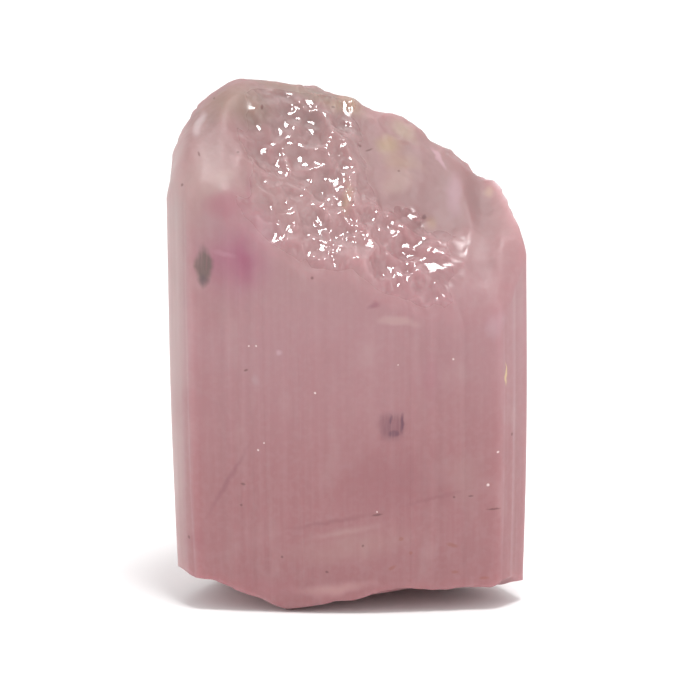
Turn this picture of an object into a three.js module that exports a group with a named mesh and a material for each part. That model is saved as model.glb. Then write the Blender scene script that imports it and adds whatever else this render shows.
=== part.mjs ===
// A rough pink tourmaline: one broken length of a prism crystal, standing on its flat parting face.
// Millimetres, +Z up along the crystal's long axis, the broad front face towards -Y.
//
// The prism's cross-section is the rounded triangle that tourmaline grows in: three broad, slightly
// bowed sides of many narrow upright faces, with the two front corners cut off by faces of their own.
// The top is a hackly broken slope that faces the front, between two smooth worn shoulders.
// The foot is a flat parting face with shell-shaped chips out of its edge.
import * as THREE from "three";
import { mergeVertices } from "three/addons/utils/BufferGeometryUtils.js";

// Driving dimensions of the whole crystal.
const WIDTH = 16.6; // across the two front corners
const WIDEST_AT = 12.5; // height at which the prism is widest
const TAPER = 0.036; // share of its width that it has lost at the foot
const LEAN = 0.012; // sideways shift for each millimetre below WIDEST_AT

// The prism faces, as the bearing of each face's normal in degrees and its distance from the axis.
// Bearings run anticlockwise from +X, so -90 is the front face.
const PRISM_FACES = [
  [-90, 5.42], [-84, 5.53], [-96.5, 5.55], [-79, 5.8], [-101.5, 5.86], // front
  [-31, 8.62], // right front corner
  [12, 8.05], [21, 7.22], [31, 6.75], [43, 6.62], [55, 6.9], // right back
  [73, 7.2], [88, 7.32], [106, 7.3], // back
  [125, 6.95], [136, 6.7], [148, 6.75], [159, 7.25], [169, 8.12], // left back
  [-150, 8.72], // left front corner
];
const EDGE_SHARPNESS = 70; // higher leaves less rounding where two faces meet

// The upright ridges that striate the sides.
const RIDGE_SHIFT = 0.75; // how unevenly they are spaced, in widths of a column
const RIDGE_DEPTH = 0.13;
const FRONT_CALM = 0.15; // share of that depth on the front face, which is the smoothest
const RIDGES_FROM = 0.9; // share of the way out at which the ridges start to notch the top and foot

// The top as seen from the front: the height of its skyline at each distance from the axis.
const SKYLINE = [
  [-8.3, 20.3], [-7.95, 21.7], [-7.5, 22.4], [-6.8, 23.1], [-6.0, 23.65], [-5.3, 24.05], [-4.5, 24.15],
  [-3.2, 23.95], [-1.7, 23.7], [0.1, 23.35], [1.1, 22.85], [3.0, 22.2], [3.9, 21.2], [5.3, 20.3],
  [6.2, 19.5], [7.1, 19.5], [7.65, 19.35], [8.05, 18.85], [8.35, 17.8],
];
const CREST_Y = 2.0; // how far back the skyline stands
const SHOULDER_FALL = 4.6; // how far the shoulders come down in front of the crest
const SHOULDER_REACH = 8.0; // how far in front of the crest they turn upright
const BACK_BOW = 0.105; // curve of the top behind the crest, per millimetre

// The broken slope: a plane, hollowed by scoops, that bends up a little towards each shoulder.
const FRONT_Y = -5.3;
const SLOPE_FOOT = 15.5; // its height at the front face, in line with the axis
const SLOPE_RISE = 0.99; // per millimetre backwards
const SLOPE_FALL = 0.4; // per millimetre to the right
const LEFT_WALL = { at: -4.6, turn: 0.1, steepness: 0.8, softness: 1.5 };
const RIGHT_WALL = { at: 5.0, steepness: 0.6, softness: 1.2 };
const WALL_BLEND = 2.6; // size of the rounding along the tops of both walls
const FRONT_LIP = { from: 0.72, fall: 1.4 }; // the roll of the shoulders into the front face
const BREAK_LIP_FALL = 0.5; // the break between them has a crisper edge
const WORN_RELIEF = 0.35; // share of the scoops that is left where the right rear is worn smooth
const BREAK_BLEND = 0.7; // size of the rounding where the slope cuts into the shoulders

// Shell-shaped scoops: the width of each, and the height of the rims between them.
const RIM_ROUNDING = 0.12; // of those rims, as a share of the scoop's squared width
const SLOPE_SCOOPS = [
  { width: 2.7, rim: 0.85, seed: 3 },
  { width: 1.15, rim: 0.36, seed: 8 },
];
const SLOPE_STRETCH = 1.35; // the scoops are this much longer down the slope
const BACK_SCOOPS = [
  { width: 4.2, rim: 1.25, seed: 21 },
  { width: 1.9, rim: 0.4, seed: 14 },
];
const FOOT_SCOOPS = [{ width: 1.7, rim: 0.22, seed: 5 }];

// Chips out of the edge of the foot: where each is centred, how far it reaches and how high it goes.
const FOOT_CHIPS = [
  { x: 5.6, y: -7.6, reach: 9.0, rise: 1.25 }, // the broad hollow under the right front
  { x: 2.5, y: -6.4, reach: 3.2, rise: 1.45 },
  { x: 9.0, y: -4.6, reach: 3.2, rise: 2.0 },
  { x: -9.4, y: -5.5, reach: 6.3, rise: 1.75 }, // the two hollows under the left front
  { x: -8.6, y: -2.5, reach: 5.6, rise: 1.7 },
  { x: 8.9, y: -0.8, reach: 3.3, rise: 1.3 },
  { x: 6.9, y: 4.4, reach: 4.2, rise: 2.6 },
  { x: 1.9, y: 8.6, reach: 3.4, rise: 1.5 },
  { x: -3.4, y: 8.3, reach: 3.9, rise: 2.9 },
  { x: -7.0, y: 4.6, reach: 3.0, rise: 1.2 },
  { x: -9.3, y: 1.0, reach: 3.1, rise: 1.7 },
];
const CHIP_BLEND = 0.25; // size of the rounding where two chips meet
const FOOT_BEVEL = { from: 0.84, rise: 0.22 }; // wear all round the edge, from a share of the way out

// The foot's break also curls a little way up the front face, and leans it back there.
const FRONT_CURL = { height: 3.6, climb: 0.28, depth: 0.5 };

// How finely the surface is divided.
const CELLS_ACROSS = 40; // of the top and of the foot
const CELLS_UP = 8;
const COLUMNS = 4 * CELLS_ACROSS;

const { clamp, degToRad, lerp, smoothstep } = THREE.MathUtils;

// A repeatable number from 0 to 1 for a whole-number place.
function chance(i, j, seed) {
  const n = Math.sin(i * 127.1 + j * 311.7 + seed * 74.7) * 43758.5453;
  return n - Math.floor(n);
}

// The smaller of a and b, rounded off where they are nearly equal.
function blendedMin(a, b, rounding) {
  const overlap = Math.max(rounding - Math.abs(a - b), 0) / rounding;
  return Math.min(a, b) - overlap * overlap * rounding * 0.25;
}

function blendedMax(a, b, rounding) {
  return -blendedMin(-a, -b, rounding);
}

// Level below zero and climbing at slope 1 above it, with a rounded start.
function ramp(t, softness) {
  return 0.5 * (t + Math.sqrt(t * t + softness * softness));
}

// The height at x of a smooth curve through the points [x, height].
function curveThrough(points, x) {
  const last = points.length - 1;
  const at = clamp(x, points[0][0], points[last][0]);
  let i = 0;
  while (i < last - 1 && at > points[i + 1][0]) i += 1;
  const slopeAt = (k) => {
    const before = points[Math.max(k - 1, 0)];
    const after = points[Math.min(k + 1, last)];
    return (after[1] - before[1]) / (after[0] - before[0]);
  };
  const [startX, startHeight] = points[i];
  const [endX, endHeight] = points[i + 1];
  const span = endX - startX;
  const t = (at - startX) / span;
  const startShare = (1 + 2 * t) * (1 - t) ** 2;
  const bend = t * (1 - t) ** 2 * slopeAt(i) - t * t * (1 - t) * slopeAt(i + 1);
  return startShare * startHeight + (1 - startShare) * endHeight + bend * span;
}

// The height of scoops side by side: 0 in the middle of each, with a rim between two.
function scooped(x, y, sizes) {
  let height = 0;
  for (const { width, rim, seed } of sizes) {
    const i = Math.floor(x / width);
    const j = Math.floor(y / width);
    let nearest = 9;
    for (let a = i - 1; a <= i + 1; a += 1) {
      for (let b = j - 1; b <= j + 1; b += 1) {
        const dx = a + chance(a, b, seed) - x / width;
        const dy = b + chance(a, b, seed + 1) - y / width;
        nearest = blendedMin(nearest, dx * dx + dy * dy, RIM_ROUNDING);
      }
    }
    height += rim * nearest;
  }
  return height;
}

// The prism's radius at an angle, before the ridges: its faces, rounded together where two meet.
function prismRadius(angle) {
  let sum = 0;
  for (const [bearing, distance] of PRISM_FACES) {
    const facing = Math.cos(angle - degToRad(bearing));
    if (facing > 0) sum += (facing / distance) ** EDGE_SHARPNESS;
  }
  return sum ** (-1 / EDGE_SHARPNESS);
}

// The upright ridges and grooves, one to a column: how far each is moved round from even spacing,
// in columns, and how far it stands out from the prism's face.
const ridges = [];
for (let i = 0; i < COLUMNS; i += 1) {
  const facesFront = Math.max(-Math.sin(columnAngle(i)), 0) ** 2;
  ridges.push({
    shift: (chance(i, 0, 1) - 0.5) * RIDGE_SHIFT,
    height: (chance(i, 0, 2) - 0.5) * RIDGE_DEPTH * lerp(1, FRONT_CALM, facesFront),
  });
}

function columnAngle(column) {
  return (column / COLUMNS) * 2 * Math.PI;
}

// Brings the faces to the stated width.
const across = ridges.map((ridge, i) => prismRadius(columnAngle(i)) * Math.cos(columnAngle(i)));
const fit = WIDTH / (Math.max(...across) - Math.min(...across));

// Where a point of a square of half-width 1 goes when the square is stretched to the outline.
// Out is how far out it lies, from 0 to 1, and standsOut is the ridge there as a share of its radius.
function stretchedToOutline(squareX, squareY) {
  const out = Math.max(Math.abs(squareX), Math.abs(squareY));
  if (out === 0) return { x: 0, y: 0, out, standsOut: 0 };
  let eighths; // how far round the square it lies, in eighths of a turn from +X
  if (squareX >= Math.abs(squareY)) eighths = squareY / squareX;
  else if (squareY >= Math.abs(squareX)) eighths = 2 - squareX / squareY;
  else if (-squareX >= Math.abs(squareY)) eighths = 4 + squareY / squareX;
  else eighths = 6 - squareX / squareY;
  const column = ((eighths + 8) % 8) * (COLUMNS / 8);
  const before = ridges[Math.floor(column) % COLUMNS];
  const after = ridges[Math.floor(column + 1) % COLUMNS];
  const atEdge = smoothstep(out, RIDGES_FROM, 1);
  const shift = lerp(before.shift, after.shift, column % 1) * atEdge;
  const height = lerp(before.height, after.height, column % 1) * atEdge;
  const angle = columnAngle(column + shift);
  const radius = prismRadius(angle) * fit;
  const x = radius * out * Math.cos(angle);
  const y = radius * out * Math.sin(angle);
  return { x, y, out, standsOut: height / radius };
}

// The worn shoulders that the whole top would have if nothing were broken out of its front.
function shoulderHeight(x, y) {
  const forward = Math.min(Math.max(CREST_Y - y, 0) / SHOULDER_REACH, 1);
  const behind = Math.max(y - CREST_Y, 0);
  const fall = SHOULDER_FALL * (1 - Math.sqrt(1 - forward * forward)) + BACK_BOW * behind * behind;
  const relief = (scooped(x, y, BACK_SCOOPS) - 0.6) * smoothstep(behind, 0, 1.5);
  return curveThrough(SKYLINE, x) - fall + relief;
}

// How far a place lies to the left of where the left wall starts.
function beyondLeftWall(x, y) {
  return LEFT_WALL.at - LEFT_WALL.turn * (y - FRONT_Y) - x;
}

// The broken slope with its walls and its scoops.
function slopeHeight(x, y) {
  const plane = SLOPE_FOOT + SLOPE_RISE * (y - FRONT_Y) - SLOPE_FALL * x;
  const walls = LEFT_WALL.steepness * ramp(beyondLeftWall(x, y), LEFT_WALL.softness)
    + RIGHT_WALL.steepness * ramp(x - RIGHT_WALL.at, RIGHT_WALL.softness);
  const worn = smoothstep(x, -0.2, 1.2) * smoothstep(y, -2.3, -1.3);
  return plane + walls + lerp(1, WORN_RELIEF, worn) * scooped(x, y / SLOPE_STRETCH, SLOPE_SCOOPS);
}

// Both walls melt into the shoulders, except at the crest, where the break is crisp.
// Out is 1 at the edge of the prism.
function topHeight(x, y, out) {
  const onLeft = smoothstep(beyondLeftWall(x, y), 0, 1.5);
  const onRight = smoothstep(x - RIGHT_WALL.at, 0, 1.5);
  const onWalls = Math.max(onLeft, onRight) * smoothstep(CREST_Y - y, 0.5, 2.5);
  const rounding = lerp(BREAK_BLEND, WALL_BLEND, onWalls);
  const overLip = clamp((out - FRONT_LIP.from) / (1 - FRONT_LIP.from), 0, 1);
  const atBreak = smoothstep(x, -5.5, -4) * smoothstep(-x, -6, -4.5);
  const fall = lerp(FRONT_LIP.fall, BREAK_LIP_FALL, atBreak);
  const lip = fall * (1 - Math.sqrt(1 - overLip * overLip)) * smoothstep(-y, 1.5, 4.5);
  return blendedMin(shoulderHeight(x, y), slopeHeight(x, y), rounding) - lip;
}

// The foot is level, with the chips rising out of it towards its edge. Out is 1 at the edge.
function footHeight(x, y, out) {
  let height = FOOT_BEVEL.rise * Math.max((out - FOOT_BEVEL.from) / (1 - FOOT_BEVEL.from), 0) ** 2;
  for (const chip of FOOT_CHIPS) {
    const away = Math.hypot(x - chip.x, y - chip.y) / chip.reach;
    if (away < 1) height = blendedMax(height, chip.rise * (1 - away * away), CHIP_BLEND);
  }
  return height + scooped(x, y, FOOT_SCOOPS) * smoothstep(height, 0, 0.6);
}

// How far the front face is set back at a place near the foot.
function frontCurl(x, y, z) {
  const top = FRONT_CURL.height + FRONT_CURL.climb * Math.max(x, 0);
  const below = Math.max(top - z, 0) / top;
  return FRONT_CURL.depth * below * below * smoothstep(-y, 3.5, 5);
}

// Where a point of a block of half-width 1 goes on the crystal.
function surfacePoint(blockX, blockY, blockZ) {
  const { x, y, out, standsOut } = stretchedToOutline(blockX, blockY);
  const up = Math.sin((blockZ * Math.PI) / 2) / 2 + 0.5; // from 0 to 1, with more rings near both ends
  const z = lerp(footHeight(x, y, out), topHeight(x, y, out), up);
  const below = Math.max(WIDEST_AT - z, 0) / WIDEST_AT;
  const size = (1 - TAPER * below * below) * (1 + standsOut);
  return [x * size + LEAN * (WIDEST_AT - z), y * size + frontCurl(x, y, z), z];
}

// Splits each four-sided cell along its shorter diagonal, so that the triangles follow the creases.
function splitCellsAlongCreases(geometry) {
  const position = geometry.getAttribute("position");
  const corner = (k) => new THREE.Vector3().fromBufferAttribute(position, geometry.index.getX(k));
  for (let k = 0; k < geometry.index.count; k += 6) {
    const [a, b, d] = [corner(k), corner(k + 1), corner(k + 2)];
    const c = corner(k + 4);
    if (a.distanceTo(c) < b.distanceTo(d)) {
      geometry.index.setX(k + 2, geometry.index.getX(k + 4));
      geometry.index.setX(k + 3, geometry.index.getX(k));
    }
  }
}

// A block divided into cells, each of whose points then moves to its place on the crystal.
function crystalGeometry() {
  const block = new THREE.BoxGeometry(2, 2, 2, CELLS_ACROSS, CELLS_ACROSS, CELLS_UP);
  const position = block.getAttribute("position");
  for (let k = 0; k < position.count; k += 1) {
    position.setXYZ(k, ...surfacePoint(position.getX(k), position.getY(k), position.getZ(k)));
  }
  splitCellsAlongCreases(block);
  block.deleteAttribute("normal");
  block.deleteAttribute("uv");
  const closed = mergeVertices(block, 1e-3);
  closed.computeBoundingBox();
  const middle = closed.boundingBox.getCenter(new THREE.Vector3());
  closed.translate(-middle.x, -middle.y, -closed.boundingBox.min.z);
  closed.computeVertexNormals();
  return closed;
}

const tourmaline = new THREE.MeshStandardMaterial({ color: "#c08f96", roughness: 0.2, metalness: 0 });

const crystal = new THREE.Mesh(crystalGeometry(), tourmaline);
crystal.name = "crystal";

const part = new THREE.Group();
part.add(crystal);

export default part;
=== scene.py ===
# %% [markdown]
# # A rough pink tourmaline
# The object is one broken length of a natural prism crystal. It grew upwards, so its sides carry fine
# upright striations. It broke at the top along a hackly, glassy slope, and at the foot along a flatter
# face with shell-shaped chips. The stone is clear pink crystal made milky by fine tubes and healed
# cracks, so light goes into it, is scattered and comes back out: it is neither glass nor paint.
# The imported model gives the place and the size. This script makes its fine surface and its finish.

# %% Load the fixed frame
import math
import bpy
import numpy as np
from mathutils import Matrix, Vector


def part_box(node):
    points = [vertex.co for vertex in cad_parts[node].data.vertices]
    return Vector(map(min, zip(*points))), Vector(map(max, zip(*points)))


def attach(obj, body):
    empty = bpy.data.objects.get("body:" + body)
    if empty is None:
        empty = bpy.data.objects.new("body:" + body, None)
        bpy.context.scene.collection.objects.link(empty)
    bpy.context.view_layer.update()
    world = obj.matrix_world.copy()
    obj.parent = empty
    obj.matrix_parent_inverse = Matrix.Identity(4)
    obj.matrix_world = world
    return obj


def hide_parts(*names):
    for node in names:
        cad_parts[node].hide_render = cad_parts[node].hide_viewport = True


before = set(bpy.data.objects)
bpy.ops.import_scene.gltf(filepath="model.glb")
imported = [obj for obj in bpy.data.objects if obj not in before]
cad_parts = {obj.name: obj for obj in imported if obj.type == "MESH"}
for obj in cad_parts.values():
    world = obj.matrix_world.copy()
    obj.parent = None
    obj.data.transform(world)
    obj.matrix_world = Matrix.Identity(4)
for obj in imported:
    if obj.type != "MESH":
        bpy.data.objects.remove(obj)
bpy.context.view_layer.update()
MM = 0.001

# %% [markdown]
# ## Camera
# The photograph looks straight at the broad front face from a little above, with a long lens, so the
# upright edges stay nearly parallel. A short lens close by would spread them. The aim is a point near
# the axis, a little below half height.

# %% Camera
AIM = Vector((0.12, 0.0, 11.38)) * MM
CAMERA_ELEVATION = math.radians(12)
CAMERA_DISTANCE = 260 * MM
LENS = 283.3

camera_data = bpy.data.cameras.new("camera")
camera_data.lens = LENS
camera_data.sensor_fit = "HORIZONTAL"
camera_data.clip_start = 10 * MM
camera = bpy.data.objects.new("camera", camera_data)
away = Vector((0, -math.cos(CAMERA_ELEVATION), math.sin(CAMERA_ELEVATION)))
camera.location = AIM + away * CAMERA_DISTANCE
camera.rotation_euler = (math.pi / 2 - CAMERA_ELEVATION, 0, 0)
bpy.context.collection.objects.link(camera)
bpy.context.scene.camera = camera
print("camera at", tuple(round(c, 4) for c in camera.location))

# %% [markdown]
# ## Helpers
# One function adds a node to any tree. Settings are the node's own options. Inputs are given by socket
# name or number, and each is either a plain value or another node's output, which is then linked.
# Colours are written as sRGB hex, the way a picture editor shows them, and one function turns them to
# the linear numbers that Blender's sockets hold.

# %% Add a node, and turn a colour to linear
def add(tree, kind, settings=None, inputs=None):
    node = tree.nodes.new(kind)
    for name, value in (settings or {}).items():
        setattr(node, name, value)
    for name, value in (inputs or {}).items():
        if isinstance(value, bpy.types.NodeSocket):
            tree.links.new(value, node.inputs[name])
        else:
            node.inputs[name].default_value = value
    return node


def linear(hex_colour):
    channels = [int(hex_colour[k : k + 2], 16) / 255 for k in (1, 3, 5)]
    bent = [c / 12.92 if c <= 0.04045 else ((c + 0.055) / 1.055) ** 2.4 for c in channels]
    return (*bent, 1.0)


print("pure white is", linear("#ffffff"))

# %% [markdown]
# ## Light and floor
# A small stone shows best on white paper under broad soft light, with one smaller lamp for the white
# glints on the glassy break. A sun would throw hard shadows, and a bare white room gives no glints.
# The slope of the break leans back by 45 degrees, so the lamp hangs almost straight above, where the
# slope mirrors it to the camera.

# %% Lamps
# A lamp has its place and its width in millimetres, and its power in watts.
LAMPS = {
    "glint_lamp": ((40, -80, 330), 92, 0.62),
    "top_softbox": ((40, 160, 420), 420, 0.3),
    "left_softbox": ((-380, -160, 140), 420, 0.35),
    "right_softbox": ((380, -180, 160), 420, 0.3),
}

for name, (lamp_place, width, power) in LAMPS.items():
    lamp_data = bpy.data.lights.new(name, "AREA")
    lamp_data.shape = "DISK"
    lamp_data.size = width * MM
    lamp_data.energy = power
    lamp = bpy.data.objects.new(name, lamp_data)
    lamp.location = Vector(lamp_place) * MM
    lamp.rotation_euler = (AIM - lamp.location).to_track_quat("-Z", "Y").to_euler()
    bpy.context.collection.objects.link(lamp)
print("lamps", list(LAMPS))

# %% White room and paper floor
ROOM_BRIGHTNESS = 0.83
PAPER = "#f8f7f7"
PAPER_ROUGHNESS = 0.9
FLOOR_HALF = 900 * MM

room = bpy.data.worlds.new("white_room")
bpy.context.scene.world = room
room.use_nodes = True
room.node_tree.nodes["Background"].inputs["Color"].default_value = (1, 1, 1, 1)
room.node_tree.nodes["Background"].inputs["Strength"].default_value = ROOM_BRIGHTNESS

floor_mesh = bpy.data.meshes.new("paper_floor")
corners = [(-FLOOR_HALF, -FLOOR_HALF, 0), (FLOOR_HALF, -FLOOR_HALF, 0)]
corners += [(FLOOR_HALF, FLOOR_HALF, 0), (-FLOOR_HALF, FLOOR_HALF, 0)]
floor_mesh.from_pydata(corners, [], [(0, 1, 2, 3)])
floor = bpy.data.objects.new("paper_floor", floor_mesh)
bpy.context.collection.objects.link(floor)
paper = bpy.data.materials.new("white_paper")
paper.use_nodes = True
paper.node_tree.nodes["Principled BSDF"].inputs["Base Color"].default_value = linear(PAPER)
paper.node_tree.nodes["Principled BSDF"].inputs["Roughness"].default_value = PAPER_ROUGHNESS
floor_mesh.materials.append(paper)

scene = bpy.context.scene
scene.view_settings.view_transform = "Standard"
scene.cycles.use_denoising = True
print("floor", round(2 * FLOOR_HALF, 2), "m wide, colours shown as", scene.view_settings.view_transform)

# %% [markdown]
# ## The crystal's form
# A stone could be sculpted, or cut out of a prism with booleans. But sculpting leaves no named sizes
# to change, and booleans leave uneven cells, where fine relief wants even ones. This form follows from
# a few rules, so it is computed. A polygon of growth faces, rounded together, is the cross-section. One
# height function is the broken top, and another the foot. A block with its six sides divided into
# cells is then wrapped round them, so there is no pole where lines crowd. The sizes are the solid's
# own, in millimetres, and only the cells are finer.

# %% The prism's faces
WIDTH = 16.6  # across the two front corners
WIDEST_AT = 12.5  # height at which the prism is widest
TAPER = 0.036  # share of its width that it has lost at the foot
LEAN = 0.012  # sideways shift for each millimetre below WIDEST_AT
# A face has the bearing of its normal in degrees, where -90 is the front, and its distance from the axis.
PRISM_FACES = [
    (-90, 5.42), (-84, 5.53), (-96.5, 5.55), (-79, 5.8), (-101.5, 5.86),  # front
    (-31, 8.62),  # right front corner
    (12, 8.05), (21, 7.22), (31, 6.75), (43, 6.62), (55, 6.9),  # right back
    (73, 7.2), (88, 7.32), (106, 7.3),  # back
    (125, 6.95), (136, 6.7), (148, 6.75), (159, 7.25), (169, 8.12),  # left back
    (-150, 8.72),  # left front corner
]
EDGE_SHARPNESS = 70  # higher leaves less rounding where two faces meet


def prism_radius(angle):
    total = 0
    for bearing, distance in PRISM_FACES:
        facing = np.maximum(np.cos(angle - math.radians(bearing)), 0)
        total = total + (facing / distance) ** EDGE_SHARPNESS
    return total ** (-1 / EDGE_SHARPNESS)


front_distance = round(float(prism_radius(-math.pi / 2)), 2)
print(len(PRISM_FACES), "growth faces, the front", front_distance, "from the axis")

# %% The upright ridges
COLUMNS = 160
RIDGE_SHIFT = 0.75  # how unevenly they are spaced, in widths of a column
RIDGE_DEPTH = 0.13  # from the lowest groove to the highest ridge
FRONT_CALM = 0.15  # share of that depth on the front face, which is the smoothest
RIDGES_FROM = 0.9  # share of the way out at which the ridges start to notch the top and foot


# A repeatable number from 0 to 1 for a whole-number place.
def chance(i, j, seed):
    n = np.sin(i * 127.1 + j * 311.7 + seed * 74.7) * 43758.5453
    return n - np.floor(n)


# A share that rises smoothly from 0 at the start to 1 at the end.
def smoothstep(value, start, end):
    t = np.clip((value - start) / (end - start), 0, 1)
    return t * t * (3 - 2 * t)


column = np.arange(COLUMNS)
column_angle = column / COLUMNS * 2 * np.pi
ridge_shift = (chance(column, 0, 1) - 0.5) * RIDGE_SHIFT
calm = 1 + (FRONT_CALM - 1) * np.maximum(-np.sin(column_angle), 0) ** 2
ridge_height = (chance(column, 0, 2) - 0.5) * RIDGE_DEPTH * calm
across = prism_radius(column_angle) * np.cos(column_angle)
fit = WIDTH / (across.max() - across.min())
print("the faces are scaled by", round(float(fit), 4))


# %% Stretch a square to the outline
# Gives where each point of a square of half-width 1 goes, how far out it lies, from 0 to 1, and how far
# the ridge there stands out, as a share of the radius.
def stretched_to_outline(square_x, square_y):
    out = np.maximum(abs(square_x), abs(square_y))
    safe = np.where(out == 0, 1, out)
    right = square_x >= abs(square_y)
    back = square_y >= abs(square_x)
    left = -square_x >= abs(square_y)
    from_x, from_y = square_x / safe, square_y / safe
    eighths = np.select([right, back, left], [from_y, 2 - from_x, 4 - from_y], 6 + from_x)
    place = (eighths % 8) * (COLUMNS / 8)
    before = np.floor(place).astype(int)
    between = place - before
    at_edge = smoothstep(out, RIDGES_FROM, 1)

    def along(values):
        here, after = values[before % COLUMNS], values[(before + 1) % COLUMNS]
        return (here * (1 - between) + after * between) * at_edge

    angle = (place + along(ridge_shift)) / COLUMNS * 2 * np.pi
    radius = prism_radius(angle) * fit
    x = radius * out * np.cos(angle)
    y = radius * out * np.sin(angle)
    return x, y, out, along(ridge_height) / radius


corner_x, corner_y, *_ = stretched_to_outline(np.array([-1.0, 1.0]), np.array([-1.0, -1.0]))
print("front corners of the block go to x", corner_x.round(2), "y", corner_y.round(2))

# %% [markdown]
# ## The broken top and the foot
# Glassy minerals break in shell-shaped scoops that meet in rims. Plain noise would give soft hills.
# Measuring the squared distance to the nearest of a scatter of points gives just that surface, and its
# rims are rounded a little, as wear leaves them. The top is the lower of two surfaces at each place:
# the smooth worn shoulder, and the scooped slope that was broken out of it.

# %% Sizes of the top
# The skyline is the height of the top at each distance from the axis, as seen from the front.
SKYLINE = np.array([
    (-8.3, 20.3), (-7.95, 21.7), (-7.5, 22.4), (-6.8, 23.1), (-6.0, 23.65), (-5.3, 24.05), (-4.5, 24.15),
    (-3.2, 23.95), (-1.7, 23.7), (0.1, 23.35), (1.1, 22.85), (3.0, 22.2), (3.9, 21.2), (5.3, 20.3),
    (6.2, 19.5), (7.1, 19.5), (7.65, 19.35), (8.05, 18.85), (8.35, 17.8),
])
CREST_Y = 2.0  # how far back the skyline stands
SHOULDER_FALL = 4.6  # how far the shoulders come down in front of the crest
SHOULDER_REACH = 8.0  # how far in front of the crest they turn upright
BACK_BOW = 0.105  # curve of the top behind the crest, per millimetre
FRONT_Y = -5.3
SLOPE_FOOT = 15.5  # height of the slope at the front face, in line with the axis
SLOPE_RISE = 0.99  # per millimetre backwards
SLOPE_FALL = 0.4  # per millimetre to the right
LEFT_WALL_AT = -4.6
LEFT_WALL_TURN = 0.1  # how far it moves left for each millimetre backwards
LEFT_WALL = (0.8, 1.5)  # its steepness, and the softness of its start
RIGHT_WALL_AT = 5.0
RIGHT_WALL = (0.6, 1.2)
WALL_BLEND = 2.6  # size of the rounding along the tops of both walls
WALL_COMES_IN = (0, 1.5)  # how far beyond its start a wall has that rounding in full
CREST_CRISP = (0.5, 2.5)  # how far in front of the crest that rounding comes in
BREAK_BLEND = 0.7  # size of the rounding where the slope cuts into the shoulders
LIP_FROM = 0.72  # share of the way out at which the top starts to roll into the front face
LIP_FALL = 1.4
BREAK_LIP_FALL = 0.5  # the break has a crisper edge than the shoulders
BREAK_LEFT_SIDE = (-5.5, -4)  # across, from the shoulder to the break
BREAK_RIGHT_SIDE = (6, 4.5)
LIP_COMES_IN = (1.5, 4.5)  # how far in front of the axis
WORN_RELIEF = 0.35  # share of the scoops that is left where the right rear is worn smooth
WORN_ACROSS = (-0.2, 1.2)  # where that starts and is full
WORN_BACK = (-2.3, -1.3)
RIM_ROUNDING = 0.12  # as a share of the scoop's squared width
# Scoops have their width, the height of their rims and their seed.
SLOPE_SCOOPS = [(2.7, 0.85, 3), (1.15, 0.36, 8)]
SLOPE_STRETCH = 1.35  # the scoops are this much longer down the slope
BACK_SCOOPS = [(4.2, 1.25, 21), (1.9, 0.4, 14)]
BACK_SCOOPS_MIDDLE = 0.6  # taken off their height, so that they cut in as well as stand out
BACK_COMES_IN = (0, 1.5)  # how far behind the crest they come in
print("skyline", SKYLINE[:, 1].min(), "to", SKYLINE[:, 1].max(), "mm high")


# %% Rounded joins, curves and scoops
# The smaller of a and b, rounded off where they are nearly equal.
def blended_min(a, b, rounding):
    overlap = np.maximum(rounding - abs(a - b), 0) / rounding
    return np.minimum(a, b) - overlap * overlap * rounding * 0.25


# Level below zero and climbing above it, with a rounded start.
def ramp(t, steepness, softness):
    return steepness * 0.5 * (t + np.sqrt(t * t + softness * softness))


# The height at x of a smooth curve through the points.
def curve_through(points, x):
    xs, heights = points.T
    slopes = np.empty(len(xs))
    slopes[1:-1] = (heights[2:] - heights[:-2]) / (xs[2:] - xs[:-2])
    slopes[0] = (heights[1] - heights[0]) / (xs[1] - xs[0])
    slopes[-1] = (heights[-1] - heights[-2]) / (xs[-1] - xs[-2])
    at = np.clip(x, xs[0], xs[-1])
    i = np.clip(np.searchsorted(xs, at) - 1, 0, len(xs) - 2)
    span = xs[i + 1] - xs[i]
    t = (at - xs[i]) / span
    start_share = (1 + 2 * t) * (1 - t) ** 2
    bend = t * (1 - t) ** 2 * slopes[i] - t * t * (1 - t) * slopes[i + 1]
    return start_share * heights[i] + (1 - start_share) * heights[i + 1] + bend * span


# The height of scoops side by side: 0 in the middle of each, with a rim between two.
def scooped(x, y, sizes):
    height = np.zeros_like(x)
    for width, rim, seed in sizes:
        i, j = np.floor(x / width), np.floor(y / width)
        nearest = np.full_like(x, 9.0)
        for a in (i - 1, i, i + 1):
            for b in (j - 1, j, j + 1):
                dx = a + chance(a, b, seed) - x / width
                dy = b + chance(a, b, seed + 1) - y / width
                nearest = blended_min(nearest, dx * dx + dy * dy, RIM_ROUNDING)
        height += rim * nearest
    return height


print("the skyline over the axis is", curve_through(SKYLINE, np.zeros(1)).round(2), "mm high")


# %% Height of the top
# The worn shoulders that the whole top would have if nothing were broken out of its front.
def shoulder_height(x, y):
    forward = np.clip((CREST_Y - y) / SHOULDER_REACH, 0, 1)
    behind = np.maximum(y - CREST_Y, 0)
    fall = SHOULDER_FALL * (1 - np.sqrt(1 - forward * forward)) + BACK_BOW * behind * behind
    relief = (scooped(x, y, BACK_SCOOPS) - BACK_SCOOPS_MIDDLE) * smoothstep(behind, *BACK_COMES_IN)
    return curve_through(SKYLINE, x) - fall + relief


# How far a place lies to the left of where the left wall starts.
def beyond_left_wall(x, y):
    return LEFT_WALL_AT - LEFT_WALL_TURN * (y - FRONT_Y) - x


def worn_share(x, y):
    return smoothstep(x, *WORN_ACROSS) * smoothstep(y, *WORN_BACK)


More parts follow.
